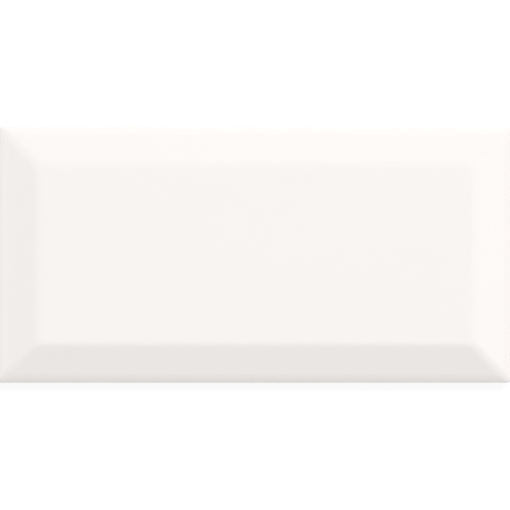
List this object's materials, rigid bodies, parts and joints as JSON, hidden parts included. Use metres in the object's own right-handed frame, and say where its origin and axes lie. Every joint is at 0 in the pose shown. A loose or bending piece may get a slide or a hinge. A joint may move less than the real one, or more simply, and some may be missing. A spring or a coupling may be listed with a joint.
{
  "type": "wall tile",
  "caption": "Oblong ceramic wall tile with a glossy white glazed face, mitred bevels sloping to its edges and a keyed back that beds in adhesive.",
  "frame": {"origin": "middle of the bedding plane at the back", "axes": "+Z out of the glazed face, +X along the long edges, +Y up the face as the tile is pictured"},
  "size_m": [0.2, 0.1, 0.0075],
  "materials": {
    "white_glaze": "gloss glaze on the face and upper edges, bare biscuit on the lower edges and back"
  },
  "bodies": {
    "root": {"wall_tile": "white_glaze"}
  },
  "joints": []
}
